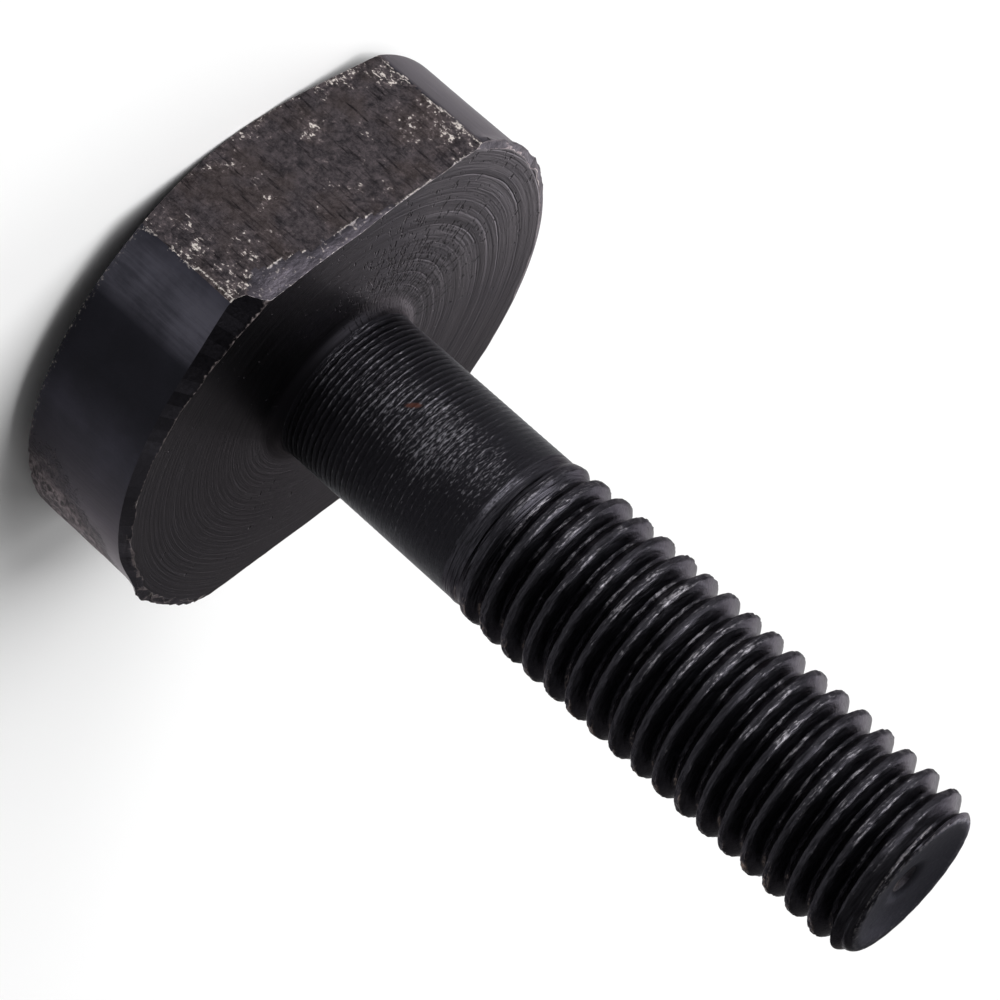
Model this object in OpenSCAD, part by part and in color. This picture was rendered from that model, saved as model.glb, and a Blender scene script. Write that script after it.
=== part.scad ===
// T-bolt: a round head with two parallel flats, a plain shank and a rolled metric thread.
// It stands on the back of its head, with +Z along the shank. All sizes are in millimetres.

/* [Head] */
// Diameter of the round head
head_d = 30; // [24:0.5:36]
// Distance across the two parallel flats
flats_w = 25; // [20:0.5:28]
// Height of the head, from its back to its underside
head_h = 8.5; // [6:0.5:12]
// Width of the chamfer round the back, along the radius
back_chamfer_w = 2.7; // [0.5:0.1:4]
// Height of the chamfer round the back
back_chamfer_h = 1.3; // [0.3:0.1:2.5]
// Width of the edge break round the underside, along the radius
rim_break_w = 0.5; // [0.2:0.1:1]
// Height of that edge break
rim_break_h = 0.3; // [0.1:0.1:1]

/* [Shank] */
// Diameter of the plain shank, close to the thread's pitch diameter
shank_d = 9.15; // [8.8:0.05:9.4]
// Length from the underside of the head to the end
bolt_len = 40; // [30:1:80]
// Length of the plain shank, from the underside to the first groove
plain_len = 12.3; // [8:0.1:20]
// Radius of the fillet between the shank and the underside
fillet_r = 0.8; // [0.2:0.1:1.5]

/* [Thread] */
// Diameter over the thread's crests
crest_d = 9.9; // [9.7:0.05:10]
// Distance from one crest to the next
pitch = 1.5; // [1.25:0.25:1.75]
// Angle between the two flanks of the groove
flank_angle = 60; // [55:1:65]
// Turns over which the first groove deepens and its crest rises
runout_turns = 2.1; // [1:0.1:3]
// Turn of the whole thread about the axis, in degrees from +X
start_angle = 38; // [0:1:359]

/* [End] */
// Radius that rounds the rim of the end
end_round_r = 0.5; // [0.2:0.1:0.8]
// Diameter where that rounding starts, inside which the end is flat or hollow
end_d = 8; // [7.6:0.1:8.4]
// Diameter of the shallow hollow that thread rolling leaves in the end
hollow_d = 7.4; // [4:0.1:7.5]
// Depth of that hollow
hollow_depth = 0.4; // [0.1:0.1:0.8]
// Diameter of the small pit at its centre
pit_d = 2.2; // [1:0.1:3]
// Depth of the pit below the hollow
pit_depth = 0.2; // [0.1:0.1:0.5]

/* [Hidden] */

$fn = 96;
steel = "#3b3b41";

head_r = head_d / 2;
shank_r = shank_d / 2;
crest_r = crest_d / 2;
total_h = head_h + bolt_len;
plain_top = head_h + plain_len;

// Sides of the helix in one turn, and the flat widths of its crest and root
turn_sides = 32;
crest_w = 0.2 * pitch;
root_w = 0.12 * pitch;
flank_w = (pitch - crest_w - root_w) / 2;
root_r = crest_r - flank_w / tan(flank_angle / 2);
// Heights and radii of the profile's corners along one pitch: root, flank, crest and flank
corner_z = [0, root_w, root_w + flank_w, root_w + flank_w + crest_w];
corner_r = [root_r, root_r, crest_r, crest_r];
corners = len(corner_z);

// The helix starts buried in the shank and ends above the bolt's end, where it is trimmed
bury = 0.04;
helix_start = plain_top - 1.5 * pitch;
turns = ceil((total_h - helix_start) / pitch) + 1;
steps = turns * turn_sides;

function smooth(t) = let (u = max(0, min(1, t))) u * u * (3 - 2 * u);

// How far the thread is formed at a height: 0 on the plain shank, 1 once it is complete
function formed(z) = smooth((z - plain_top) / (runout_turns * pitch));

function helix_z(step, corner) = helix_start + pitch * step / turn_sides + corner_z[corner];

function helix_point(step, corner) =
    let (
        z = helix_z(step, corner),
        bed = shank_r - bury,
        r = bed + (corner_r[corner] - bed) * formed(z),
        a = start_angle + 360 * step / turn_sides
    )
    [r * cos(a), r * sin(a), z];

// Index of a corner point. Past the last corner it is the first one of the next turn.
function at(step, corner) =
    corner < corners ? step * corners + corner : (step + turn_sides) * corners;

// A closed body whose whole side is the thread's helical surface
module helix_body() {
    rows = steps - turn_sides;
    points = [
        for (step = [0:steps], corner = [0:corners - 1]) helix_point(step, corner),
        [0, 0, helix_start + pitch / 2],
        [0, 0, helix_z(rows, 0) + pitch / 2]
    ];
    low_pole = len(points) - 2;
    high_pole = len(points) - 1;
    side = [
        for (step = [0:rows - 1], corner = [0:corners - 1])
            each [
                [at(step, corner), at(step, corner + 1), at(step + 1, corner)],
                [at(step + 1, corner), at(step, corner + 1), at(step + 1, corner + 1)]
            ]
    ];
    low_end = [
        for (step = [0:turn_sides - 1]) [low_pole, at(step, 0), at(step + 1, 0)],
        for (corner = [0:corners - 1]) [low_pole, at(0, corner + 1), at(0, corner)]
    ];
    high_end = [
        for (step = [rows:rows + turn_sides - 1]) [high_pole, at(step + 1, 0), at(step, 0)],
        for (corner = [0:corners - 1]) [high_pole, at(rows, corner), at(rows, corner + 1)]
    ];
    polyhedron(points = points, faces = concat(side, low_end, high_end), convexity = 10);
}

// A spherical cap cut down into the end from a height
module cap_hollow(d, depth, top) {
    sphere_r = (d * d / 4 + depth * depth) / (2 * depth);
    translate([0, 0, top - depth + sphere_r])
        sphere(r = sphere_r);
}

// The envelope that trims the thread: a rounded rim with a short taper outside it
module end_envelope() {
    rim_r = end_d / 2 + end_round_r;
    rim_z = total_h - end_round_r;
    wide_r = crest_r + 1;
    round_steps = 5;
    rotate_extrude()
        polygon([
            [0, helix_start - pitch],
            [wide_r, helix_start - pitch],
            [wide_r, rim_z - (wide_r - rim_r)],
            for (i = [0:round_steps])
                let (a = 90 * i / round_steps)
                [end_d / 2 + end_round_r * cos(a), rim_z + end_round_r * sin(a)],
            [0, total_h]
        ]);
}

// Head, fillet and plain shank, turned in one profile
module blank() {
    fillet_steps = 5;
    rotate_extrude()
        polygon([
            [0, 0],
            [head_r - back_chamfer_w, 0],
            [head_r, back_chamfer_h],
            [head_r, head_h - rim_break_h],
            [head_r - rim_break_w, head_h],
            for (i = [0:fillet_steps])
                let (a = 90 * i / fillet_steps)
                [shank_r + fillet_r * (1 - sin(a)), head_h + fillet_r * (1 - cos(a))],
            [shank_r, plain_top],
            [0, plain_top]
        ]);
}

// The two slabs outside the head's flats
module flat_cutters() {
    for (side = [-1, 1])
        translate([-head_r - 1, side > 0 ? flats_w / 2 : -flats_w / 2 - head_r, -1])
            cube([head_d + 2, head_r, head_h + 2]);
}

// The threaded length, trimmed and hollowed at its end
module threaded_end() {
    difference() {
        intersection() {
            helix_body();
            end_envelope();
        }
        cap_hollow(hollow_d, hollow_depth, total_h);
        cap_hollow(pit_d, pit_depth, total_h - hollow_depth);
    }
}

module t_bolt() {
    color(steel)
        union() {
            difference() {
                blank();
                flat_cutters();
            }
            threaded_end();
        }
}

t_bolt();
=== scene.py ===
# T-bolt: a turned head with two sawn flats, a turned shank and a rolled thread, in black-oxide steel.
import math
from functools import partial

import bmesh
import bpy
import numpy as np
from mathutils import Matrix, Vector, noise


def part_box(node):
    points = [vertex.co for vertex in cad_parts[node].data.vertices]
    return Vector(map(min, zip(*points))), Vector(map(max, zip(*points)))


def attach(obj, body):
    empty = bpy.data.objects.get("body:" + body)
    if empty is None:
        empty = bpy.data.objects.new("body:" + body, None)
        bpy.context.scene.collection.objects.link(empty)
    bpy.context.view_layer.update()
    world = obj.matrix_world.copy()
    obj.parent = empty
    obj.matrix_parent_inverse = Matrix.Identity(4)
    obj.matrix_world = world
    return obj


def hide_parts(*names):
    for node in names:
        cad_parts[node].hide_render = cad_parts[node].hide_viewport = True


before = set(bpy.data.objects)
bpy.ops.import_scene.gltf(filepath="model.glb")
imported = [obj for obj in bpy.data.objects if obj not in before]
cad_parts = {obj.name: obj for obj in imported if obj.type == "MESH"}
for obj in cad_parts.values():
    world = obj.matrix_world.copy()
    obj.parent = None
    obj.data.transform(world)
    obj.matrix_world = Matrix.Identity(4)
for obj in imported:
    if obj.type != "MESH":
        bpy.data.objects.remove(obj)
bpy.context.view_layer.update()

cadLow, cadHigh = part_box("t_bolt")

mm = 0.001  # the bolt is modelled in millimetres and brought to metres at the end
headRadius = min(cadHigh.x, -cadLow.x) / mm
flatY = cadHigh.y / mm
boltTop = cadHigh.z / mm
nearly = 0.001  # slack in mm where points are picked by their place

# small helpers for the modelling


def activate(piece):
    bpy.ops.object.select_all(action="DESELECT")
    piece.select_set(True)
    bpy.context.view_layer.objects.active = piece


def addNew(operator, **settings):  # adds an object with nothing else selected
    bpy.ops.object.select_all(action="DESELECT")
    operator(**settings)
    return bpy.context.object


def startEdit(piece):
    activate(piece)
    bpy.ops.object.mode_set(mode="EDIT")
    bpy.ops.mesh.select_mode(type="FACE")
    bpy.ops.mesh.select_all(action="DESELECT")


def pickFaces(piece, wanted):  # wanted(centre, normal) says which faces get selected
    mesh = bmesh.from_edit_mesh(piece.data)
    for face in mesh.faces:
        face.select = wanted(face.calc_center_median(), face.normal)
    bmesh.update_edit_mesh(piece.data)


def applyModifier(piece, kind, **settings):
    activate(piece)
    modifier = piece.modifiers.new(kind.title(), kind)
    for key, value in settings.items():
        setattr(modifier, key, value)
    bpy.ops.object.modifier_apply(modifier=modifier.name)


def cutLevel(z, **settings):  # cuts right across at a height
    bpy.ops.mesh.select_all(action="SELECT")
    bpy.ops.mesh.bisect(plane_co=(0, 0, z), plane_no=(0, 0, 1), **settings)


def insetRings(radius, rings):  # insets the picked faces from one radius to the next
    for nextRadius in rings:
        bpy.ops.mesh.inset(thickness=radius - nextRadius)
        radius = nextRadius


def readPoints(piece):
    points = np.zeros(len(piece.data.vertices) * 3)
    piece.data.vertices.foreach_get("co", points)
    return points.reshape(-1, 3)


def writePoints(piece, points):
    piece.data.vertices.foreach_set("co", points.ravel())
    piece.data.update()


def noiseAt(points, scale, seed):  # smooth noise from about -0.5 to 0.5, scale is in blobs per mm
    shift = Vector((seed * 7.31, seed * 3.17, seed * 5.73))
    return np.array([noise.noise(Vector(p) * scale + shift) for p in points])


def smooth(t):
    t = np.clip(t, 0, 1)
    return t * t * (3 - 2 * t)


def hump(t, middle, wide):  # 1 in the middle, fading on both sides
    return np.exp(-(((t - middle) / wide) ** 2))


def softLess(a, b, blend):  # the smaller of two, with the corner between them rounded
    return 0.5 * (a + b - np.sqrt((a - b) ** 2 + blend**2))


# shank and thread, one helical sheet of rows that follow the thread

rod = {
    "shankRadius": 4.6,
    "crestRadius": 4.95,
    "rootRadius": 4.07,
    "pitch": 1.5,
    "flankSlope": math.sqrt(3),  # a 60 degree groove
    "crestWide": 0.34,
    "crestSpread": 0.25,  # how much broader the first crest is
    "crestSpreadFade": 3.0,  # length over which the crests get narrower
    "crestRound": 0.05,
    "rootRound": 0.16,
    "crestTorn": 0.1,  # deepest fold in a crest
    "crestRise": 1.5,  # length over which the first crest rises
    "grooveRise": 3.15,  # length over which the first groove deepens
    "crestAtX": 20.763,  # height at which a crest passes over the +X side
    "plainTop": 20.8,
    "turnsBelow": 9,  # whole pitches that the sheet starts below crestAtX
    "startHeight": 9.36,  # just above the fillet's top
    "stepsPerTurn": 112,
    "rowsPerPitch": 24,
    "endRound": 0.5,
    "endRadius": 4.0,
    "endRings": (3.75, 3.5, 3.1, 2.6, 2.1, 1.7, 1.45, 1.2, 1.0, 0.8, 0.6, 0.4, 0.2),
    "hollowRadius": 3.75,
    "hollowDepth": 0.38,
    "pitRadius": 1.5,
    "pitDepth": 0.25,
    "markFeed": 0.355,  # distance between the coarse turning marks
    "markDepth": 0.042,
    "markFadeEnd": 18.5,
    "markFade": 8.0,  # length over which the marks fade out
    "markLate": 5.0,  # how much further the marks run on the side at markLateAngle
    "markLateAngle": 222,
    "speckPlace": (1.03, -4.46, 14.2),  # a speck of rust
    "speckRadius": 1 / 6,
    "speckWay": (-0.69, -0.16, 0.71),  # the way in which it is drawn out
    "speckDrawn": 0.64,  # how much less a distance that way counts
}


def endEnvelope(z):  # rounded rim of the end, with a short taper below it
    rim = boltTop - rod["endRound"]
    above = np.clip((z - rim) / rod["endRound"], 0, 1)
    rounded = rod["endRadius"] + rod["endRound"] * np.sqrt(1 - above**2)
    return np.where(z < rim, rod["endRadius"] + rod["endRound"] + rim - z, rounded)


def threadStep(points, z, angle, uneven):  # how far the thread stands above the shank, or below it
    pitch = rod["pitch"]
    turn = (z - rod["crestAtX"]) / pitch - angle / (2 * math.pi)
    fromCrest = np.abs(turn - np.round(turn)) * pitch
    past = np.maximum(z - rod["plainTop"], 0)
    crestWide = rod["crestWide"] + rod["crestSpread"] * np.exp(-past / rod["crestSpreadFade"])
    flank = rod["crestRadius"] + (crestWide / 2 - fromCrest) * rod["flankSlope"]
    folds = np.clip(0.25 + 1.7 * noiseAt(points, 3.1, 4), 0, 1)  # crests are folded and ragged
    profile = softLess(flank, rod["crestRadius"] - rod["crestTorn"] * folds, rod["crestRound"])
    step = -softLess(-profile, -rod["rootRadius"], rod["rootRound"]) - rod["shankRadius"]
    rise = (1 - np.exp(-past / rod["crestRise"])) * smooth(past)
    groove = smooth(past / rod["grooveRise"])
    return np.where(step > 0, step * rise * (1 + 0.12 * uneven), step * groove)


def markDepth(z, angle, uneven):  # one turning mark follows the next, fading up the shank
    marks = z / rod["markFeed"] - angle / (2 * math.pi)
    marks = np.abs(2 * (marks - np.floor(marks)) - 1)  # 0 on top of each mark
    late = rod["markLate"] * smooth(np.cos(angle - math.radians(rod["markLateAngle"])) * 1.3)
    fade = smooth((rod["markFadeEnd"] + late - z) / rod["markFade"])
    return rod["markDepth"] * fade * (0.75 + 0.9 * uneven) * marks


def rodRadius(points):
    z = points[:, 2]
    angle = np.arctan2(points[:, 1], points[:, 0])
    uneven = noiseAt(points, 0.55, 3)
    r = rod["shankRadius"] + threadStep(points, z, angle, uneven) - markDepth(z, angle, uneven)
    return np.minimum(r, endEnvelope(z))


def makeProfile(start):  # one pitch of the rod's side, standing on the axis as a row of points
    pitch = rod["pitch"]
    place = (rod["shankRadius"], 0, start)
    piece = addNew(bpy.ops.mesh.primitive_plane_add, size=pitch, location=place)
    startEdit(piece)
    bpy.ops.mesh.select_mode(type="VERT")  # one edge of the plane is kept and stood up
    mesh = bmesh.from_edit_mesh(piece.data)
    for vertex in mesh.verts:
        vertex.select = vertex.co.y > 0
    mesh.select_flush_mode()
    bpy.ops.mesh.delete(type="VERT")
    mesh = bmesh.from_edit_mesh(piece.data)
    for vertex in mesh.verts:
        vertex.co = (0, 0, pitch if vertex.co.x > 0 else 0)
    bpy.ops.mesh.select_all(action="SELECT")
    bpy.ops.mesh.subdivide(number_cuts=rod["rowsPerPitch"] - 1)
    bpy.ops.object.mode_set(mode="OBJECT")
    bpy.ops.object.transform_apply(location=True)
    return piece


def makeRod():
    start = rod["crestAtX"] - rod["turnsBelow"] * rod["pitch"]
    piece = makeProfile(start)
    turns = math.ceil((boltTop - start) / rod["pitch"]) + 1
    applyModifier(
        piece, "SCREW", axis="Z", angle=2 * math.pi, screw_offset=rod["pitch"], iterations=turns,
        steps=rod["stepsPerTurn"], render_steps=rod["stepsPerTurn"],
    )
    startEdit(piece)
    bpy.ops.mesh.select_all(action="SELECT")
    bpy.ops.mesh.remove_doubles(threshold=nearly)
    cutLevel(boltTop, clear_outer=True)
    cutLevel(rod["startHeight"], clear_inner=True)
    bpy.ops.object.mode_set(mode="OBJECT")
    points = readPoints(piece)
    points[:, :2] *= (rodRadius(points) / np.hypot(points[:, 0], points[:, 1]))[:, None]
    writePoints(piece, points)
    closeEnd(piece)
    return piece


def endHeight(radius):  # the end is hollow, with a small pit in its middle
    hollow = max(0, 1 - (radius / rod["hollowRadius"]) ** 2)
    pit = max(0, 1 - (radius / rod["pitRadius"]) ** 2) ** 2
    return boltTop - rod["hollowDepth"] * hollow - rod["pitDepth"] * pit


def closeEnd(piece):
    startEdit(piece)
    bpy.ops.mesh.select_mode(type="VERT")
    mesh = bmesh.from_edit_mesh(piece.data)
    for vertex in mesh.verts:
        vertex.select = vertex.co.z > boltTop - 0.1 * nearly
    mesh.select_flush_mode()
    bpy.ops.mesh.edge_face_add()
    bpy.ops.mesh.select_mode(type="FACE")
    radius = rod["endRadius"]
    for nextRadius in rod["endRings"]:
        bpy.ops.mesh.extrude_region_move()
        share = nextRadius / radius
        bpy.ops.transform.resize(value=(share, share, 1), center_override=(0, 0, boltTop))
        bpy.ops.transform.translate(value=(0, 0, endHeight(nextRadius) - endHeight(radius)))
        radius = nextRadius
    bpy.ops.mesh.poke()
    bpy.ops.object.mode_set(mode="OBJECT")


rodPiece = makeRod()
print("shank and thread made:", len(rodPiece.data.polygons), "faces")

# head, with its rings, chamfers and fillet

head = {
    "columns": 256,
    "height": 8.5,
    "backChamferWide": 2.7,
    "backChamferHigh": 1.3,
    "chamferRows": (0.1, 0.65, 1.2),
    "chamferLow": 0.29,  # how much lower the back chamfer is on one side
    "chamferLowAt": (230, 20),  # places round the head are an angle and a reach in degrees
    "backRings": (12.1, 11, 9, 7, 5, 3, 1.2),
    "sideRows": (2.0, 3.2, 4.6, 6.0, 7.0, 7.5, 7.8, 8.0, 8.15, 8.3, 8.4),
    "rimRings": (14.9, 14.75, 14.6, 14.45, 14.3),
    "borderRing": 14.45,  # the ring that is moved onto the inner border of the rim's break
    "stillRing": 12.0,
    "borderRow": 8.15,  # the row that is moved onto its outer border
    "stillRow": 6.0,
    "ringStep": 0.2,
    "fineFeed": 0.3,  # distance between the finest turning marks
    "deepFeed": 0.78,  # and between the deeper bites of the tool
    "beats": 120,  # steps that chatter left round the rim
    "ringRelief": 0.018,  # rings on the underside
    "ringFaint": 0.75,  # how much fainter the rings are toward ringFaintAngle
    "ringFaintAngle": 20,
    "rimWide": 0.42,
    "rimLeast": 0.12,
    "rimWorn": 1.15,  # extra width where the break is worn most, beside the front flat
    "rimWornAt": (300, 29),
    "rimNarrow": 0.06,
    "rimNarrowAt": (215, 14),
    "chippedAt": (25, 28),
    "rimTall": 0.5,
    "rimTallMore": 0.45,
    "rimTallAt": (300, 12),
    "rimLow": 0.34,  # how much lower the break is away from the front
    "rimLowFrom": (12, 290),  # the first and the last degree of that stretch
    "rimSteepest": 1.3,  # height over width
    "lips": ((0.36, 20, 70), (0.17, 190, 250)),  # reach of each raised lip, its first and its last degree
    "lipStart": 7.5,
    "blendAngle": 14,  # degrees over which lips and low stretches begin
    "patchPlace": (12.99, 7.5, 2.5),  # middle of the scale left on the side
    "patchStretch": (0.6, 0.6, 1),
    "patchRadius": 4.4,
    "filletRadius": 0.8,
    "filletSteps": 5,
}


def rimWidth(points, degrees):  # the break is worn wider beside the front flat and chipped near +X
    worn = head["rimWorn"] * hump(degrees, *head["rimWornAt"]) * (degrees > 270)  # not past the front flat
    narrow = head["rimNarrow"] * hump(degrees, *head["rimNarrowAt"])
    middle, wide = head["chippedAt"]
    rough = 0.2 + 0.8 * hump((degrees + 180) % 360, middle + 180, wide)
    chips = noiseAt(points, 0.9, 11) * 0.16 + (noiseAt(points, 2.6, 12) * 0.5 + 0.08) * rough * 0.55
    return np.maximum(head["rimWide"] + worn - narrow + chips, head["rimLeast"])


def rimHeight(degrees, width):  # the break is tall beside the front flat and low away from the front
    start, end = head["rimLowFrom"]
    blend = head["blendAngle"]
    low = np.minimum(smooth((degrees - start) / blend), smooth((end - degrees) / blend))
    tall = head["rimTall"] + head["rimTallMore"] * hump(degrees, *head["rimTallAt"])
    return np.minimum(tall - head["rimLow"] * low, width * head["rimSteepest"])


def rimLip(points, degrees, z):  # steel pushed outward over the rim
    ragged = 0.75 + noiseAt(points, 1.4, 26) + 0.4 * noiseAt(points, 3.2, 27)
    lip = 0
    for reach, start, end in head["lips"]:
        lip = lip + reach * smooth((degrees - start) / head["blendAngle"]) * (degrees < end) * ragged
    return lip * smooth((z - head["lipStart"]) / 0.7)


def scaledPatch(points):  # where scale was left on the side near +X, 1 inside and 0 outside
    away = (points - head["patchPlace"]) * head["patchStretch"]
    ragged = 0.9 * noiseAt(points, 0.7, 14) + 0.4 * noiseAt(points, 2.2, 15)
    return smooth((head["patchRadius"] + ragged - np.linalg.norm(away, axis=1)) / 0.4)


def wearHead(points):
    height = head["height"]
    r = np.hypot(points[:, 0], points[:, 1])
    z = points[:, 2].copy()
    degrees = np.degrees(np.arctan2(points[:, 1], points[:, 0])) % 360
    onSide = r > headRadius - nearly
    # rings on the underside
    onFace = (z > height - nearly) & (r > rod["shankRadius"] + head["filletRadius"] + 0.05)
    rings = noiseAt(np.stack([r * 2.2, points[:, 0] / r * 0.4, points[:, 1] / r * 0.4], 1), 1, 21)
    faint = 1 - head["ringFaint"] * smooth(np.cos(np.radians(degrees - head["ringFaintAngle"])) * 2)
    z -= np.where(onFace, head["ringRelief"] * faint * (0.5 + rings), 0)
    # waves, scale and lips on the side
    wave = noiseAt(points, 0.25, 23)
    scale = scaledPatch(points) * (0.03 + 0.16 * np.maximum(noiseAt(points, 1.9, 24), 0))
    lip = rimLip(points, degrees, z)
    newR = r - np.where(onSide, 0.02 * np.maximum(0.5 + wave, 0.1) + scale - lip, 0)
    # the rings are moved so that one of them lies on the break's inner border
    width = rimWidth(points, degrees)
    outside = headRadius + lip
    border = outside - width
    ring, still = head["borderRing"], head["stillRing"]
    beyond = outside - (headRadius - r) * width / (headRadius - ring)
    inside = still + (r - still) * (border - still) / (ring - still)
    moved = (z > height - 0.1) & (r > still) & ~onSide
    newR = np.where(moved, np.where(r > ring - nearly, beyond, inside), newR)
    # likewise one row lies on its outer border
    tall = rimHeight(degrees, width)
    row, still = head["borderRow"], head["stillRow"]
    raised = height - (height - z) * tall / (height - row)
    shared = still + (z - still) * (height - tall - still) / (row - still)
    z = np.where(onSide & (z > still), np.where(z > row - nearly, raised, shared), z)
    lowered = 1 - head["chamferLow"] * hump(degrees, *head["chamferLowAt"])
    z = np.where(z < head["backChamferHigh"] + nearly, z * lowered, z)
    # what still stands outside the break's slope is brought down onto it
    over = (newR - border) / width + (z - (height - tall)) / tall - 1
    over = np.where((r > headRadius - 3) & (z > height - 2), np.maximum(over, 0), 0)
    size = 1 / width**2 + 1 / tall**2
    newR -= over / width / size
    z -= over / tall / size
    points[:, :2] *= (newR / np.maximum(r, 1e-9))[:, None]  # the pole has no radius
    points[:, 2] = z
    return points


def makeHead():
    height = head["height"]
    piece = addNew(
        bpy.ops.mesh.primitive_cylinder_add,
        vertices=head["columns"], radius=headRadius, depth=height, location=(0, 0, height / 2),
    )
    piece.name = "tBolt"
    bpy.ops.object.transform_apply(location=True)
    startEdit(piece)
    for z in (head["backChamferHigh"], *head["sideRows"]):
        cutLevel(z)
    pickFaces(piece, lambda centre, normal: normal.z < -0.9)
    radius = headRadius - head["backChamferWide"]
    bpy.ops.transform.resize(value=(radius / headRadius, radius / headRadius, 1))
    for z in head["chamferRows"]:
        cutLevel(z)
    pickFaces(piece, lambda centre, normal: normal.z < -0.99)
    insetRings(radius, head["backRings"])
    bpy.ops.mesh.poke()
    pickFaces(piece, lambda centre, normal: normal.z > 0.9)
    filletStart = rod["shankRadius"] + head["filletRadius"]
    count = round((head["rimRings"][-1] - filletStart) / head["ringStep"])
    faceRings = np.linspace(head["rimRings"][-1], filletStart, count + 1)[1:]
    insetRings(headRadius, (*head["rimRings"], *faceRings))
    for i in range(head["filletSteps"]):
        before, after = (math.pi / 2 * k / head["filletSteps"] for k in (i, i + 1))
        bpy.ops.mesh.inset(thickness=head["filletRadius"] * (math.sin(after) - math.sin(before)))
        rise = head["filletRadius"] * (math.cos(before) - math.cos(after))
        bpy.ops.transform.translate(value=(0, 0, rise))
    bpy.ops.object.mode_set(mode="OBJECT")
    writePoints(piece, wearHead(readPoints(piece)))
    return piece


flats = {
    "wide": 18.0,
    "tall": 10.0,
    "cuts": {-1: (90, 50), 1: (60, 34)},  # the front flat shows most
    "halfLength": 8.3,  # from the middle of a flat to its corners
    "wearReach": 0.9,  # how far in from the true flat its wear reaches
    "scaleRelief": 0.05,
    "facetSlope": 0.42,
    "facetStart": -4.0,  # the battered facet starts here and widens toward +X
    "facetLength": 12.0,
    "facetWide": 1.85,
    "facetClose": 2.2,  # length over which it closes again
    "dent": 0.3,  # one more blow
    "dentAt": (0.2, 1.1),  # its middle and its reach along X
    "nickSlope": 0.6,
    "cornerSlope": 0.5,
    "cornerBreak": 0.08,
}


def flatDepth(x, z, side):  # how far the sawn and worn surface lies below the true flat
    points = np.stack([x, z, np.full_like(x, side * 4.0)], 1)
    streaks = noiseAt(points * (1.6, 0.35, 1), 1, 31)
    grain = noiseAt(points, 1.5, 32)
    depth = flats["scaleRelief"] * np.clip(0.5 + streaks + 0.5 * grain, 0, 1.5)
    ragged = 0.5 * noiseAt(points * (0.5, 0.1, 1), 1, 33) + 0.2 * noiseAt(points, 1.6, 34)
    wide = 0.1 + 0.25 * ragged
    if side < 0:  # the front edge is battered into a slanted facet
        share = np.clip((x - flats["facetStart"]) / flats["facetLength"], 0, 1)
        wide += flats["facetWide"] * share**1.6 + flats["dent"] * hump(x, *flats["dentAt"])
        wide *= 0.15 + 0.85 * smooth((flats["halfLength"] - x) / flats["facetClose"])
    facet = flats["facetSlope"] * (z - (head["height"] - wide))
    nicks = flats["nickSlope"] * (0.12 + 0.011 * x**2 + 0.4 * ragged - z)  # in the edge at the back
    cornerX = flats["halfLength"] - flats["cornerBreak"]
    corners = flats["cornerSlope"] * (np.abs(x) - cornerX + 0.3 * ragged)
    return np.maximum.reduce([depth, facet, nicks, corners])


def cutFlat(piece, side):
    columns, rows = flats["cuts"][side]
    cutter = addNew(
        bpy.ops.mesh.primitive_grid_add,
        x_subdivisions=columns, y_subdivisions=rows, size=1,
        location=(0, 0, head["height"] / 2), rotation=(math.pi / 2, 0, 0),
    )
    cutter.scale = (flats["wide"], flats["tall"], 1)
    bpy.ops.object.transform_apply(location=True, rotation=True, scale=True)
    points = readPoints(cutter)
    points[:, 1] = side * (flatY - flatDepth(points[:, 0], points[:, 2], side))
    writePoints(cutter, points)
    startEdit(cutter)
    bpy.ops.mesh.select_all(action="SELECT")
    bpy.ops.mesh.extrude_region_move(TRANSFORM_OT_translate={"value": (0, side * 5, 0)})
    bpy.ops.mesh.select_all(action="SELECT")
    bpy.ops.mesh.normals_make_consistent(inside=False)
    bpy.ops.object.mode_set(mode="OBJECT")
    applyModifier(piece, "BOOLEAN", operation="DIFFERENCE", object=cutter, solver="EXACT")
    bpy.data.objects.remove(cutter)


def joinRod(piece, rodPiece):
    startEdit(piece)
    fillTop = head["height"] + head["filletRadius"] - 0.01
    pickFaces(piece, lambda centre, normal: centre.z > fillTop and normal.z > 0.9)
    bpy.ops.mesh.delete(type="FACE")
    bpy.ops.object.mode_set(mode="OBJECT")
    activate(piece)
    rodPiece.select_set(True)
    bpy.ops.object.join()
    startEdit(piece)
    bpy.ops.mesh.select_mode(type="EDGE")
    bpy.ops.mesh.select_non_manifold()
    bpy.ops.mesh.bridge_edge_loops()
    bpy.ops.mesh.select_all(action="SELECT")
    bpy.ops.mesh.normals_make_consistent(inside=False)
    bpy.ops.transform.resize(value=(mm, mm, mm), center_override=(0, 0, 0))
    bpy.ops.object.mode_set(mode="OBJECT")


tBolt = makeHead()
print("head made:", len(tBolt.data.polygons), "faces")
for side in (-1, 1):
    cutFlat(tBolt, side)
print("flats cut:", len(tBolt.data.polygons), "faces")
joinRod(tBolt, rodPiece)
activate(tBolt)
bpy.ops.object.shade_smooth_by_angle(angle=math.radians(35))
print("bolt joined:", len(tBolt.data.polygons), "faces")

# materials


def toLinear(hexColour):  # an sRGB hex value as a linear colour
    parts = [int(hexColour[i : i + 2], 16) / 255 for i in (1, 3, 5)]
    return (*[c / 12.92 if c <= 0.04045 else ((c + 0.055) / 1.055) ** 2.4 for c in parts], 1)


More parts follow.
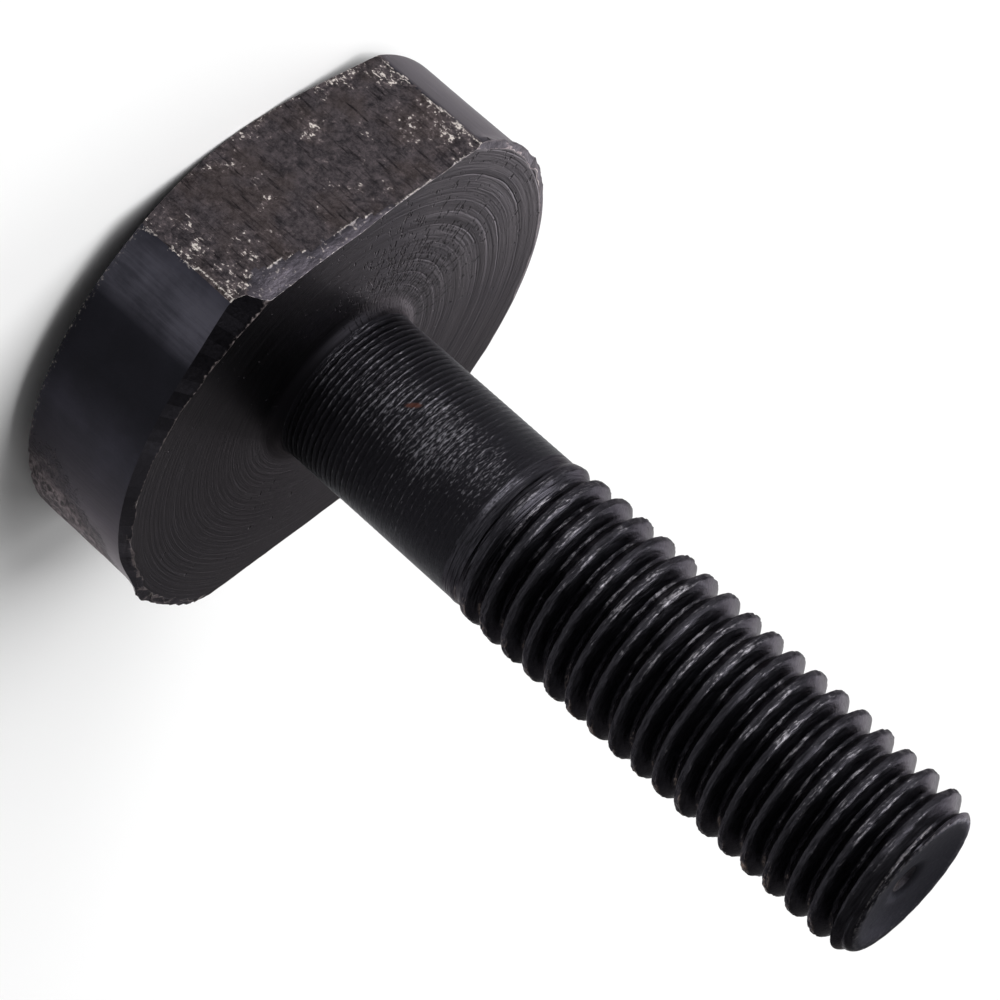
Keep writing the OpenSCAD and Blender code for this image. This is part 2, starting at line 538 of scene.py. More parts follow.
# Adds a node with its settings and links. A kind may be followed by its operation. Inputs are a list in the
# order the node shows them, or go by name, and each is a node, a socket, a value or a hex colour.
def addNode(tree, kind, inputs=(), **settings):
    kind, *operation = kind.split()
    node = tree.nodes.new("ShaderNode" + kind)
    if operation:
        node.operation = operation[0]
    for key, value in settings.items():
        setattr(node, key, value)
    sockets = [socket for socket in node.inputs if socket.enabled]
    byName = {socket.name: socket for socket in sockets}
    for key, value in inputs.items() if isinstance(inputs, dict) else enumerate(inputs):
        socket = byName[key] if isinstance(key, str) else sockets[key]
        if isinstance(value, bpy.types.Node):
            value = next(output for output in value.outputs if output.enabled)
        if isinstance(value, bpy.types.NodeSocket):
            tree.links.new(value, socket)
        else:
            socket.default_value = toLinear(value) if isinstance(value, str) else value
    return node


def newMaterial(name):
    material = bpy.data.materials.new(name)
    material.use_nodes = True
    material.node_tree.nodes.clear()
    return material, material.node_tree


# A steel comes with a short way to add its nodes, and with where its surface is, in mm and about the axis.
def newSteel(name):
    material, tree = newMaterial(name)
    add = partial(addNode, tree)
    coords = add("TexCoord").outputs["Object"]
    place = add("VectorMath SCALE", [coords, 1 / mm])
    across = add("VectorMath MULTIPLY", [place, (1, 1, 0)])
    outward = add("VectorMath NORMALIZE", [across])
    split = add("SeparateXYZ", [outward])
    return material, add, {
        "place": place,
        "radius": add("VectorMath LENGTH", [across]),
        "outward": outward,
        "angle": add("Math ARCTAN2", [split.outputs["Y"], split.outputs["X"]]),
        "height": add("SeparateXYZ", [place]).outputs["Z"],
    }


# Noise drawn out round the axis. Its rate is in blobs per mm of across, and a higher arc makes them shorter.
def grainRound(add, at, across, rate, arc, detail=4):
    fine = add("CombineXYZ", {"Z": across})
    spread = add("VectorMath MULTIPLY_ADD", [at["outward"], (arc, arc, 0), fine])
    return add("TexNoise", [spread, rate, detail, 0.65])


def nearAngle(add, at, degrees, full, none):  # 1 within full degrees of an angle, 0 beyond none degrees
    way = (math.cos(math.radians(degrees)), math.sin(math.radians(degrees)), 0)
    facing = add("VectorMath DOT_PRODUCT", [at["outward"], way])
    return add("MapRange", [facing, math.cos(math.radians(none)), math.cos(math.radians(full))])


def wornEdge(add, grain, most=1.0):  # share of bare steel along the convex edges, broken up by a grain
    worn = add("Attribute", attribute_name="wornEdge").outputs["Fac"]
    worn = add("Math MULTIPLY_ADD", [worn, 0.42, grain])
    return add("MapRange", [worn, 0.8, 1.0, 0.0, most])


def addUp(add, total, parts):  # adds each part times its weight to a total
    for part, weight in parts:
        total = add("Math MULTIPLY_ADD", [part, weight, total])
    return total


# Layers are shares with the colours they lay over the black. Relief is forms with their depths in mm.
# The edgeOn colour tints what the steel mirrors when it is seen almost edge on.
def finishSteel(material, black, layers, roughness, relief, metallic=1.0, edgeOn="#f9f3f7"):
    add = partial(addNode, material.node_tree)
    colour = black
    for share, over in layers:
        colour = add("Mix", [share, colour, over], data_type="RGBA")
    height = addUp(add, 0.0, relief)
    bump = add("Bump", {"Strength": 1.0, "Distance": mm, "Height": height})
    shader = add("BsdfPrincipled", {
        "Base Color": colour, "Metallic": metallic, "Roughness": roughness, "Normal": bump,
        "Specular Tint": edgeOn,
    })
    add("OutputMaterial", {"Surface": shader})
    return material


steel = {  # bare steel, and the darker and the lighter shade of the black oxide on each surface; on the shank the lighter one is the colour of painted glints
    "bare": "#bdb4b0",
    "shinyAndSheen": "#e0d8d2",
    "face": ("#2b2b2f", "#343335"),
    "side": ("#25252b", "#32313a"),
    "back": ("#232327", "#343338"),
    "rim": ("#29282c", "#454349"),
    "flat": ("#2b292c", "#5b5457"),
    "battered": ("#312f34", "#49454b"),
    "shank": ("#212024", "#918f96"),
    "thread": ("#222125", "#38373c"),
    "end": ("#1b1a1e", "#26252a"),
}


# Turned, then blackened. A facing cut leaves rings that lean outward and tears the steel near the shank.
def turnedFace():
    material, add, at = newSteel("facedBlackOxideSteel")
    drift = add("TexNoise", [at["place"], 0.12, 4, 0.6])
    brushed = grainRound(add, at, at["radius"], 6.0, 0.35)
    fine = add("Math MULTIPLY", [at["radius"], 1 / head["fineFeed"]])
    fine = add("Math FRACT", [fine])
    # deeper bites, each with its own strength, broken into arcs and weaker away from 205 degrees; they give
    # relief, and a painted highlight as light lines
    turns = add("Math MULTIPLY", [at["radius"], 1 / head["deepFeed"]])
    turns = add("Math MULTIPLY_ADD", [drift, 0.7, turns])
    past = add("Math FRACT", [turns])
    whole = add("Math FLOOR", [turns])
    groove = add("Math SUBTRACT", [past, 0.1])
    groove = add("Math ABSOLUTE", [groove])
    groove = add("MapRange", [groove, 0.085, 0.01])
    bite = add("TexWhiteNoise", [whole], noise_dimensions="1D")
    for strength, start, full, least in (
        (bite, 0.2, 1.0, 0.1),
        (grainRound(add, at, whole, 1.0, 2.0, 2), 0.36, 0.6, 0.3),
        (nearAngle(add, at, 205, 70, 120), 0.0, 1.0, 0.35),
    ):
        strength = add("MapRange", [strength, start, full, least, 1.0])
        groove = add("Math MULTIPLY", [groove, strength])
    # steel torn out on one side, mostly near the shank
    inward = add("Math MULTIPLY", [at["radius"], 1.5])
    tears = grainRound(add, at, inward, 1.0, 36.0, 2)
    near = add("MapRange", [at["radius"], 12.0, 7.5, 0.35, 1.0])
    near = add("Math MULTIPLY", [nearAngle(add, at, 228, 22, 60), near])
    torn = add("Math MULTIPLY_ADD", [near, 0.19, tears])
    torn = add("MapRange", [torn, 0.7, 0.77])
    filletStart = rod["shankRadius"] + head["filletRadius"]
    # painted shade: the fillet between the face and the shank is darkened, and made rougher
    inFillet = add("MapRange", [at["radius"], filletStart + 0.3, filletStart - 0.2])
    thin = add("MapRange", [drift, 0.35, 0.65])
    # painted shade: darker toward the rim on the side facing 20 degrees
    shaded = add("MapRange", [at["radius"], 14.6, 9.0])
    shaded = add("Math MULTIPLY", [shaded, nearAngle(add, at, 20, 40, 85)])
    # painted highlight: the deeper bites are laid as thin light lines
    faint = add("Math MULTIPLY", [groove, 0.22])
    black, lighter = steel["face"]
    layers = (
        (thin, lighter), (shaded, "#1f1f22"), (faint, "#77747a"), (torn, "#141416"),
        (wornEdge(add, brushed, 0.8), steel["bare"]), (inFillet, "#19181b"),
    )
    roughness = add("MapRange", [brushed, 0.3, 0.7, 0.3, 0.44])
    roughness = add("Math MULTIPLY_ADD", [inFillet, 0.12, roughness])
    fineDepth = add("MapRange", [nearAngle(add, at, 20, 50, 100), 0.0, 1.0, -0.014, -0.002])
    relief = ((fine, fineDepth), (groove, -0.012), (brushed, 0.02), (torn, -0.045))
    return finishSteel(material, black, layers, roughness, relief)


# Turned smooth, then blackened. It gives a satin, slightly blue black with slight lengthwise rubbing, laid in
# a narrow band near 311 degrees as a painted reflection, and with painted shade bands.
def turnedSide():
    material, add, at = newSteel("turnedBlackOxideSteel")
    lengthwise = add("VectorMath MULTIPLY", [at["place"], (1, 1, 0.08)])
    streaks = add("TexNoise", [lengthwise, 4, 4, 0.7])
    grain = add("TexNoise", [at["place"], 7, 4, 0.6])
    patches = add("TexNoise", [at["place"], 0.35, 4, 0.6])
    soft = add("MapRange", [patches, 0.42, 0.68, 0.0, 0.6])
    chamferTop = head["backChamferHigh"]
    above = add("MapRange", [at["height"], chamferTop - 1, chamferTop])
    # painted shade: dark bands toward 327 and 28 degrees, above the back chamfer
    paintedSideShade = add("Math MULTIPLY", [nearAngle(add, at, 327, 5, 17), 0.75])
    paintedSideShade = add("Math MULTIPLY_ADD", [nearAngle(add, at, 28, 3, 12), 0.3, paintedSideShade])
    paintedSideShade = add("Math MULTIPLY", [paintedSideShade, above])
    # streaky rubbing, kept to a narrow band near 311 degrees, where it is a painted reflection
    rubbingAndSheen = add("Math MULTIPLY_ADD", [patches, 1.4, streaks])
    rubbingAndSheen = add("MapRange", [rubbingAndSheen, 0.95, 1.4, 0.35, 1.0])
    for share in (nearAngle(add, at, 311.5, 0, 8), above):
        rubbingAndSheen = add("Math MULTIPLY", [rubbingAndSheen, share])
    # scale left on the side near +X, brown, wrinkled and dull
    wide = add("VectorMath MULTIPLY", [at["place"], (1, 1, 2.2)])
    wrinkles = add("TexNoise", {"Vector": wide, "Scale": 1.6, "Detail": 4, "Distortion": 0.8})
    away = add("VectorMath SUBTRACT", [at["place"], head["patchPlace"]])
    away = add("VectorMath MULTIPLY", [away, head["patchStretch"]])
    away = add("VectorMath LENGTH", [away])
    away = addUp(add, away, ((patches, 2.5), (wrinkles, 1.2), (grain, 2.2)))
    border = head["patchRadius"] + 3  # the noises add 3 to the distance on average
    scaly = add("MapRange", [away, border + 0.3, border - 0.8])
    flaky = add("Math MULTIPLY_ADD", [grain, 0.5, wrinkles])
    flaky = add("MapRange", [flaky, 0.66, 0.86])
    scale = add("Mix", [flaky, "#151213", "#83787a"], data_type="RGBA")
    below = add("MapRange", [at["height"], 7.2, 6.4])
    worn = add("Math MULTIPLY", [wornEdge(add, grain, 0.7), below])
    black, lighter = steel["side"]
    layers = (
        (soft, lighter), (paintedSideShade, "#121215"), (rubbingAndSheen, "#46454d"), (scaly, scale), (worn, steel["bare"])
    )
    dulled = nearAngle(add, at, 212, 12, 30)
    roughness = addUp(add, 0.24, ((streaks, 0.12), (scaly, 0.16), (rubbingAndSheen, 0.1), (dulled, 0.12)))
    metallic = add("Math MULTIPLY_ADD", [scaly, -0.25, 1.0])
    wrinkled = add("Math MULTIPLY", [wrinkles, scaly])
    relief = ((grain, 0.005), (streaks, 0.006), (wrinkled, 0.17))
    return finishSteel(material, black, layers, roughness, relief, metallic)


# Faced plainly, then blackened: fine rings about the middle, and a duller black where it stands on things.
def facedBack():
    material, add, at = newSteel("plainFacedBlackOxideSteel")
    drift = add("TexNoise", [at["place"], 0.3, 4, 0.6])
    brushed = grainRound(add, at, at["radius"], 5.0, 0.35)
    scratches = add("VectorMath MULTIPLY", [at["place"], (0.15, 1, 1)])
    scratches = add("TexNoise", [scratches, 5.0, 4, 0.7])
    turns = add("Math MULTIPLY", [at["radius"], 1 / head["fineFeed"]])
    turns = add("Math PINGPONG", [turns, 1.0])
    thin = add("MapRange", [drift, 0.38, 0.62])
    rubbingAndSheen = add("Math MULTIPLY_ADD", [brushed, 0.3, scratches])
    rubbingAndSheen = add("MapRange", [rubbingAndSheen, 0.74, 0.88, 0.0, 0.5])
    black, lighter = steel["back"]
    layers = (
        (thin, lighter), (rubbingAndSheen, "#6d686a"), (wornEdge(add, scratches, 0.6), steel["bare"])
    )
    roughness = add("MapRange", [drift, 0.3, 0.7, 0.36, 0.5])
    relief = ((turns, 0.006), (brushed, 0.03), (scratches, 0.02))
    return finishSteel(material, black, layers, roughness, relief)


# Broken by a chattering tool, then blackened: dark steps round the rim, bare along its inner border.
def chatteredRim():
    material, add, at = newSteel("chatteredBlackOxideSteel")
    beats = add("Math MULTIPLY", [at["angle"], head["beats"] / (2 * math.pi)])
    beat = add("Math FLOOR", [beats])
    past = add("Math FRACT", [beats])
    shade = add("TexWhiteNoise", [beat], noise_dimensions="1D")
    grain = add("TexNoise", [at["place"], 4, 4, 0.6])
    pale = add("Math MULTIPLY", [nearAngle(add, at, 18, 22, 50), 0.15])
    # painted shade: the break is darkened toward 300 degrees, beside the front flat's corner
    dark = add("Math MULTIPLY", [nearAngle(add, at, 300, 14, 34), 0.85])
    top = head["height"]
    inner = add("MapRange", [at["height"], top - 0.2, top - 0.06])
    worn = add("Math MULTIPLY", [wornEdge(add, grain, 0.7), inner])
    black, lighter = steel["rim"]
    layers = ((shade, lighter), (pale, "#6a676e"), (dark, "#111013"), (worn, "#a79b9b"))
    roughness = add("MapRange", [grain, 0.3, 0.7, 0.4, 0.6])
    leaning = add("Math MULTIPLY", [past, shade])
    relief = ((leaning, 0.03), (grain, 0.03))
    return finishSteel(material, black, layers, roughness, relief)


# Sawn and scaled, then blackened and knocked about: a dull brown black with flecks of bare steel.
def sawnFlat():
    material, add, at = newSteel("sawnBlackOxideSteel")
    sides = add("SeparateXYZ", [at["place"]]).outputs["X"]
    lengthwise = add("VectorMath MULTIPLY", [at["place"], (1, 1, 0.12)])
    streaks = add("TexNoise", [lengthwise, 4.5, 6, 0.7])
    mottle = add("TexNoise", [at["place"], 2.6, 8, 0.8])
    stains = add("TexNoise", [at["place"], 0.45, 4, 0.6])
    grain = add("TexNoise", [at["place"], 8, 3, 0.6])
    # flecks gather in clusters, high up near one end, near the other end, and near the back
    area = add("TexNoise", [at["place"], 0.65, 3, 0.6])
    high = add("MapRange", [at["height"], 1.5, 4.5, 0.0, 0.14])
    for place, start, full, more in (
        (sides, 4.5, 7.4, high), (sides, -5.0, -7.6, 0.12), (at["height"], 1.8, 0.5, 0.09)
    ):
        closer = add("MapRange", [place, start, full, 0.0, more])
        area = add("Math ADD", [area, closer])
    area = add("MapRange", [area, 0.42, 0.72, 0.0, 0.26])
    drawn = add("VectorMath MULTIPLY", [at["place"], (1, 1, 0.65)])
    flecks = {"Vector": drawn, "Scale": 5.5, "Detail": 4, "Roughness": 0.65, "Distortion": 0.6}
    flecks = add("Math ADD", [add("TexNoise", flecks), area])
    dusty = add("Math MULTIPLY_ADD", [mottle, 0.4, flecks])
    bare = add("MapRange", [flecks, 0.79, 0.85])
    bare = add("Math MAXIMUM", [bare, wornEdge(add, grain, 0.9)])
    black, lighter = steel["flat"]
    layers = []
    for pattern, start, full, most, over in (
        (mottle, 0.38, 0.62, 1.0, lighter), (stains, 0.46, 0.62, 0.32, "#473c36"),
        (streaks, 0.46, 0.34, 1.0, "#1b191b"), (dusty, 0.88, 1.08, 0.5, "#8c7f80"),
    ):
        layers.append((add("MapRange", [pattern, start, full, 0.0, most]), over))
    layers.append((bare, steel["shinyAndSheen"]))
    roughness = add("MapRange", [bare, 0.0, 1.0, 0.5, 0.36])
    relief = ((streaks, 0.16), (grain, 0.04), (mottle, 0.1))
    return finishSteel(material, black, layers, roughness, relief)


# Battered edge of the flat: the blow smeared the steel smooth and grey, bare along its borders.
def batteredEdge():
    material, add, at = newSteel("batteredBlackOxideSteel")
    grain = add("TexNoise", [at["place"], 4, 4, 0.6])
    drawn = add("VectorMath MULTIPLY", [at["place"], (0.5, 1, 1)])
    smear = add("TexNoise", [drawn, 1.2, 5, 0.65])
    smeared = add("MapRange", [smear, 0.35, 0.65])
    scuffed = add("MapRange", [grain, 0.6, 0.72, 0.0, 0.4])
    black, lighter = steel["battered"]
    layers = (
        (smeared, lighter), (scuffed, steel["bare"]), (wornEdge(add, grain, 0.85), "#b5aeb0")
    )
    roughness = add("MapRange", [grain, 0.3, 0.7, 0.36, 0.5])
    relief = ((grain, 0.02), (smear, 0.06))
    return finishSteel(material, black, layers, roughness, relief)


def rustSpeck(add, at, ragged):  # one speck of rust on the shank, longer one way and ragged
    away = add("VectorMath SUBTRACT", [at["place"], rod["speckPlace"]])
    along = add("VectorMath DOT_PRODUCT", [away, rod["speckWay"]]).outputs["Value"]
    along = add("Math MULTIPLY", [along, -rod["speckDrawn"]])
    along = add("VectorMath SCALE", [rod["speckWay"], along])
    away = add("VectorMath ADD", [away, along])
    away = add("VectorMath SCALE", [away, 1 / rod["speckRadius"]])
    away = add("VectorMath LENGTH", [away])
    away = add("Math MULTIPLY_ADD", [ragged, 0.9, away])
    return add("MapRange", [away, 1.5, 1.1])


# Turned with a coarse feed, then blackened: the torn ring tops carry painted glints and a painted sheen,
# gathered where the light falls; the hollows stay black. One speck of rust.
def turnedShank():
    material, add, at = newSteel("roughTurnedBlackOxideSteel")
    rings = grainRound(add, at, at["height"], 7.0, 0.5)
    torn = grainRound(add, at, at["height"], 14.0, 1.1, 6)
    patches = add("TexNoise", [at["place"], 0.5, 4, 0.6])
    marks = add("Math MULTIPLY", [at["height"], 1 / rod["markFeed"]])
    marks = add("Math MULTIPLY_ADD", [at["angle"], -0.5 / math.pi, marks])
    marks = add("Math MULTIPLY_ADD", [rings, 0.3, marks])
    marks = add("Math SUBTRACT", [marks, 0.15])
    marks = add("Math PINGPONG", [marks, 0.5])  # 0.5 on top of each turning mark
    tops = add("MapRange", [marks, 0.3, 0.45])
    fading = add("MapRange", [at["height"], 12.0, 20.0, 1.0, 0.3])
    tops = add("Math MULTIPLY", [tops, fading])
    # painted highlight: the glints gather in this band round the shank and shift along its length
    rubbingAndSheen = nearAngle(add, at, 289, 12, 34)
    glints = addUp(add, torn, ((rubbingAndSheen, 0.13), (patches, 0.3), (tops, 0.13)))
    for start, full, least, most in ((12.5, 16.0, -0.03, 0.03), (16.5, 20.5, 0.0, -0.07)):
        more = add("MapRange", [at["height"], start, full, least, most])
        glints = add("Math ADD", [glints, more])
    glints = add("MapRange", [glints, 0.81, 1.02, 0.0, 0.85])
    # painted sheen on the turning marks' tops
    dull = add("MapRange", [rings, 0.42, 0.7, 0.0, 0.18])
    dull = add("Math MULTIPLY", [dull, tops])
    rust = rustSpeck(add, at, torn)
    rustColour = add("Mix", [torn, "#1f0a05", "#4f2210"], data_type="RGBA")
    black, lighter = steel["shank"]
    layers = ((glints, lighter), (dull, "#737076"), (rust, rustColour))
    metallic = add("Math MULTIPLY_ADD", [rust, -1.0, 1.0])
    roughness = addUp(add, 0.24, ((rings, 0.2), (rust, 0.4)))
    depth = add("MapRange", [rubbingAndSheen, 0.0, 1.0, 0.045, 0.06])
    rough = add("Math MULTIPLY_ADD", [rings, 0.8, torn])
    relief = ((rough, depth), (tops, 0.012))
    return finishSteel(material, black, layers, roughness, relief, metallic, "#d6d6d8")


# Rolled, then blackened: the flanks are smooth and glossy, the crests folded, rough and bare at their edges.
# A painted highlight lies along the roots and on the crests toward 280 and 28 degrees.
def rolledThread():
    material, add, at = newSteel("rolledBlackOxideSteel")
    pitch, plainTop = rod["pitch"], rod["plainTop"]
    start = 0.5 - rod["crestAtX"] / pitch
    turn = add("Math MULTIPLY_ADD", [at["height"], 1 / pitch, start])
    turn = add("Math MULTIPLY_ADD", [at["angle"], -0.5 / math.pi, turn])
    turn = add("Math FRACT", [turn])
    pastCrest = add("Math MULTIPLY_ADD", [turn, pitch, -0.5 * pitch])
    fromCrest = add("Math ABSOLUTE", [pastCrest])  # mm from the crest's middle
    along = grainRound(add, at, at["height"], 9.0, 0.45)
    specks = grainRound(add, at, at["height"], 9.0, 2.0)
    patches = add("TexNoise", [at["place"], 0.5, 4, 0.6])
    formed = add("MapRange", [at["height"], plainTop + 0.2, plainTop + 2.0])
    crest = add("MapRange", [fromCrest, 0.25, 0.1])
    # painted highlight: a thin line along the root, where its rounding catches the light
    root = add("MapRange", [fromCrest, 0.61, 0.69])
    crestAndRootLine = add("Math MAXIMUM", [crest, root])
    crestAndRootLine = add("Math MULTIPLY", [crestAndRootLine, formed])
    edge = add("MapRange", [pastCrest, 0.08, 0.16])
    # bare steel on the crests, with painted highlight added toward 280 and 28 degrees
    worn = addUp(add, 0.0, (
        (specks, 0.6), (along, 0.7), (patches, 0.6), (edge, 0.07),
        (nearAngle(add, at, 280, 14, 52), 0.18), (nearAngle(add, at, 28, 14, 40), 0.2),
    ))
    bare = add("MapRange", [worn, 1.18, 1.36, 0.0, 0.85])
    bare = add("Math MULTIPLY", [bare, crestAndRootLine])
    brown = nearAngle(add, at, 30, 8, 50)
    bareColour = add("Mix", [brown, "#a09da3", "#a39084"], data_type="RGBA")
    # burnished where the first groove begins
    strip = add("Math SUBTRACT", [at["height"], plainTop + 0.06])
    strip = add("Math ABSOLUTE", [strip])
    strip = add("Math MULTIPLY_ADD", [along, 0.12, strip])
    strip = add("MapRange", [strip, 0.25, 0.17])
    polish = add("MapRange", [specks, 0.38, 0.6, 0.1, 0.9])
    for share in (nearAngle(add, at, 290, 3, 20), polish):
        strip = add("Math MULTIPLY", [strip, share])
    light = add("MapRange", [along, 0.35, 0.65])
    black, lighter = steel["thread"]
    layers = ((light, lighter), (bare, bareColour), (strip, "#7c7a83"))
    roughness = addUp(add, 0.24, ((along, 0.1), (crestAndRootLine, 0.08)))
    depth = add("MapRange", [crestAndRootLine, 0.0, 1.0, 0.03, 0.06])
    rough = add("Math MULTIPLY_ADD", [specks, 0.6, along])
    lines = grainRound(add, at, at["height"], 5.0, 0.1, 2)  # drawn by the rolls, only low on the thread
    early = add("MapRange", [at["height"], plainTop + 3.5, plainTop + 1.0, 0.0, 0.12])
    relief = ((rough, depth), (lines, early))
    return finishSteel(material, black, layers, roughness, relief, edgeOn="#c4c2c4")


# The rolled-in end, pressed hollow and blackened: a satin grey black, with a painted sheen toward one side
# and painted shade in the pit.
def rolledEnd():
    material, add, at = newSteel("pressedBlackOxideSteel")
    grain = add("TexNoise", [at["place"], 4, 4, 0.65])
    cloud = add("TexNoise", [at["place"], 0.6, 2, 0.6])
    cloudy = add("MapRange", [cloud, 0.35, 0.65])
    # painted sheen: lighter toward -X and -Y
    shinyAndSheen = add("VectorMath DOT_PRODUCT", [at["place"], (-0.9, -0.4, 0)])
    shinyAndSheen = add("MapRange", [shinyAndSheen.outputs["Value"], -1.0, 3.5, 0.0, 0.9])
    # painted shade in the pit, which is also rougher
    pit = add("MapRange", [at["radius"], rod["pitRadius"] - 0.1, rod["pitRadius"] - 0.7])
    dark = add("Math MULTIPLY", [pit, 0.9])
    rim = rod["endRadius"]
    nearRim = add("MapRange", [at["radius"], rim - 0.7, rim + 0.1, 0.0, 0.2])
    worn = add("Math ADD", [grain, nearRim])
    worn = add("MapRange", [worn, 0.64, 0.78, 0.0, 0.5])
    black, lighter = steel["end"]
    layers = ((cloudy, lighter), (shinyAndSheen, "#3d3c42"), (dark, "#0e0d0f"), (worn, "#8d898b"))
    roughness = add("MapRange", [grain, 0.3, 0.7, 0.36, 0.46])
    roughness = add("Math MULTIPLY_ADD", [pit, 0.35, roughness])
    relief = ((grain, 0.012), (cloud, 0.02))
    return finishSteel(material, black, layers, roughness, relief, edgeOn="#d0d0d6")


finishes = {
    "side": turnedSide,
    "face": turnedFace,
    "back": facedBack,
    "rim": chatteredRim,
    "flat": sawnFlat,
    "battered": batteredEdge,
    "shank": turnedShank,
    "thread": rolledThread,
    "end": rolledEnd,
}

wear = {
    "sharp": 22,  # a convex edge that turns by more degrees than this is worn
    "sharpOnBreak": 13.2,  # on the break round the underside
    "sharpOnFacet": 17.6,  # on the battered facet
    "breakReach": 0.2,  # the break's border lies this close to the underside
    "breakInside": 0.8,  # and at least this far in from the flats
    "facetAbove": 5,
    "facetReach": 0.5,  # the facet's border lies this close to the true flat
    "backBelow": 1.6,
    "backWear": 0.62,  # the back chamfer's edges are worn less
}


def markWornEdges(piece):  # how far each point on a convex edge of the head is worn, read by wornEdge
    mesh = bmesh.new()
    mesh.from_mesh(piece.data)
    worn = np.zeros(len(mesh.verts), np.float32)
    for edge in mesh.edges:
        heights = [vertex.co.z / mm for vertex in edge.verts]
        across = max(abs(vertex.co.y) for vertex in edge.verts) / mm
        sharp = wear["sharp"]
        if min(heights) > head["height"] - wear["breakReach"] and across < flatY - wear["breakInside"]:
            sharp = wear["sharpOnBreak"]
        elif min(heights) > wear["facetAbove"] and across > flatY - wear["facetReach"]:
            sharp = wear["sharpOnFacet"]
        if edge.is_convex and edge.calc_face_angle(0) > math.radians(sharp):
            onBack = max(heights) < wear["backBelow"]
            worn[[vertex.index for vertex in edge.verts]] = wear["backWear"] if onBack else 1
    mesh.free()
    layer = piece.data.attributes.new("wornEdge", "FLOAT", "POINT")
    layer.data.foreach_set("value", worn)


far = math.inf
zones = (  # where each finish lies, in mm and by how far its faces look up or outward. Later ones lie on top.
    ("rim", {"radius": (12.5, far), "height": (head["height"] - 1.2, far), "up": (0.2, far)}),
    ("face", {"height": (head["height"] - 0.12, far), "up": (0.985, far)}),
    ("back", {"height": (-far, 0.02), "up": (-far, -0.985)}),
    ("flat", {"outward": (0.8, far), "up": (-far, 0.2)}),
    ("battered", {"outward": (0.6, far), "up": (0.2, far), "height": (4, far)}),
    ("face", {"radius": (0, 5.5), "height": (head["height"], far)}),
    ("shank", {"radius": (0, 5), "height": (head["height"] + 0.6, far)}),
    ("thread", {"radius": (0, 5), "height": (rod["plainTop"] - 0.2, far)}),
    ("end", {"radius": (0, 4.2), "height": (boltTop - 0.5, far), "up": (0.6, far)}),
)


def dressBolt(piece):
    count = len(piece.data.polygons)
    centres, normals = np.zeros(count * 3), np.zeros(count * 3)
    piece.data.polygons.foreach_get("center", centres)
    piece.data.polygons.foreach_get("normal", normals)
    x, y, z = centres.reshape(-1, 3).T / mm
    r = np.hypot(x, y)
    nearFlat = (np.abs(x) < flats["halfLength"] + 0.3) & (np.abs(y) > flatY - flats["wearReach"])
    outward = np.where(nearFlat & (r < headRadius - 0.03), np.abs(normals[1::3]), 0)
    seen = {"radius": r, "height": z, "up": normals[2::3], "outward": outward}
    places = {name: i for i, name in enumerate(finishes)}
    chosen = np.full(count, places["side"])
    for name, limits in zones:
        within = [(seen[key] > least) & (seen[key] < most) for key, (least, most) in limits.items()]
        chosen[np.logical_and.reduce(within)] = places[name]
    for finish in finishes.values():
        piece.data.materials.append(finish())
    piece.data.polygons.foreach_set("material_index", chosen)
    piece.data.update()


tBolt.data.materials.clear()
markWornEdges(tBolt)
dressBolt(tBolt)
print("finishes:", [material.name for material in tBolt.data.materials])

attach(tBolt, "root")
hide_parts("t_bolt")

# floor, lights and camera

studio = {
    "floorSize": 3.0,
    "floorColour": "#f8f8f8",
    "floorRoughness": 0.9,
    "worldColour": "#ffffff",
    "worldStrength": 0.2,
    "lampsAim": (0, 0, 0.02),
    "softboxes": {  # azimuth from +X and elevation in degrees, distance and size in metres, power in watts
        "keySoftbox": (235, 42, 1.3, (1.3, 1.0), 25.0),
        "rimSoftbox": (152, 22, 0.8, (0.6, 0.5), 2.8),
    },
}


def makeFloor():
    floor = addNew(bpy.ops.mesh.primitive_plane_add, size=studio["floorSize"])
    floor.name = "floor"
    material, tree = newMaterial("paintedFloor")
    paint = {"Base Color": studio["floorColour"], "Roughness": studio["floorRoughness"]}
    shader = addNode(tree, "BsdfPrincipled", paint)
    addNode(tree, "OutputMaterial", {"Surface": shader})
    floor.data.materials.append(material)


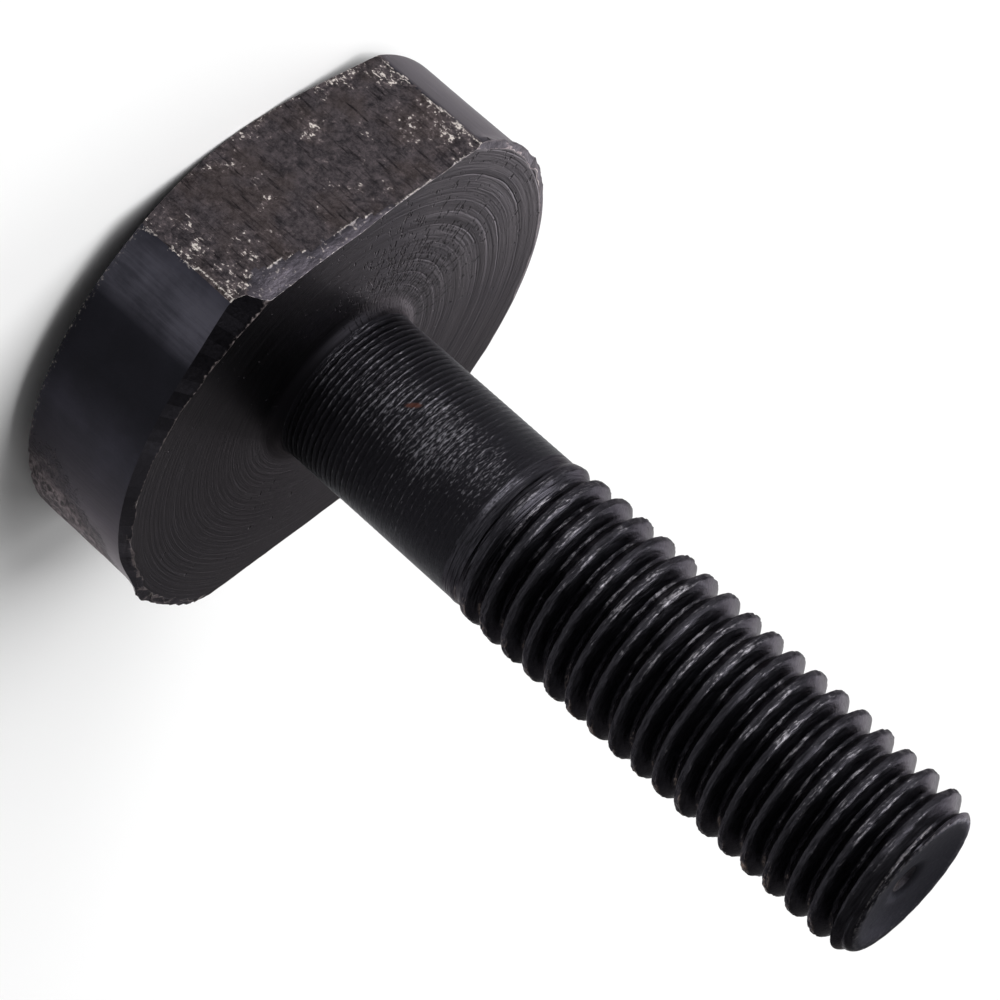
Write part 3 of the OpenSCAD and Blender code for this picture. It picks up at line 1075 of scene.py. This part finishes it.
def addSoftbox(name, azimuth, elevation, distance, size, power):
    a, e = math.radians(azimuth), math.radians(elevation)
    direction = Vector((math.cos(a) * math.cos(e), math.sin(a) * math.cos(e), math.sin(e)))
    place = Vector(studio["lampsAim"]) + direction * distance
    lamp = addNew(bpy.ops.object.light_add, type="AREA", location=place)
    lamp.name = name
    lamp.rotation_euler = direction.to_track_quat("Z", "Y").to_euler()
    lamp.data.shape = "RECTANGLE"
    lamp.data.size, lamp.data.size_y = size
    lamp.data.energy = power


def makeWorld():
    world = bpy.data.worlds.new("studioWorld")
    bpy.context.scene.world = world
    world.use_nodes = True
    tree = world.node_tree
    tree.nodes.clear()
    light = addNode(tree, "Background", [studio["worldColour"], studio["worldStrength"]])
    addNode(tree, "OutputWorld", {"Surface": light})


view = {
    "aim": (-0.644, -0.396, 19.449),  # in mm, as the distance
    "distance": 238.87,
    "azimuth": 31.30,  # degrees to the right of straight in front
    "elevation": 19.33,
    "roll": 131.53,
    "lens": 169.78,
    "sensorWidth": 36,
    "nearest": 0.01,  # in metres
    "farthest": 10,
}


def makeCamera():
    a, e, roll = (math.radians(view[key]) for key in ("azimuth", "elevation", "roll"))
    back = Vector((math.sin(a) * math.cos(e), -math.cos(a) * math.cos(e), math.sin(e)))
    level = (-back).cross(Vector((0, 0, 1))).normalized()
    above = level.cross(-back)
    right = level * math.cos(roll) + above * math.sin(roll)
    up = right.cross(-back)
    camera = addNew(bpy.ops.object.camera_add)
    rotation = Matrix((right, up, back)).transposed().to_4x4()
    place = (Vector(view["aim"]) + back * view["distance"]) * mm
    camera.matrix_world = Matrix.Translation(place) @ rotation
    camera.data.lens = view["lens"]
    camera.data.sensor_width = view["sensorWidth"]
    camera.data.clip_start = view["nearest"]
    camera.data.clip_end = view["farthest"]
    bpy.context.scene.camera = camera


makeFloor()
makeWorld()
for name, settings in studio["softboxes"].items():
    addSoftbox(name, *settings)
makeCamera()
bpy.context.scene.view_settings.view_transform = "Standard"
print("floor, lights and camera placed")
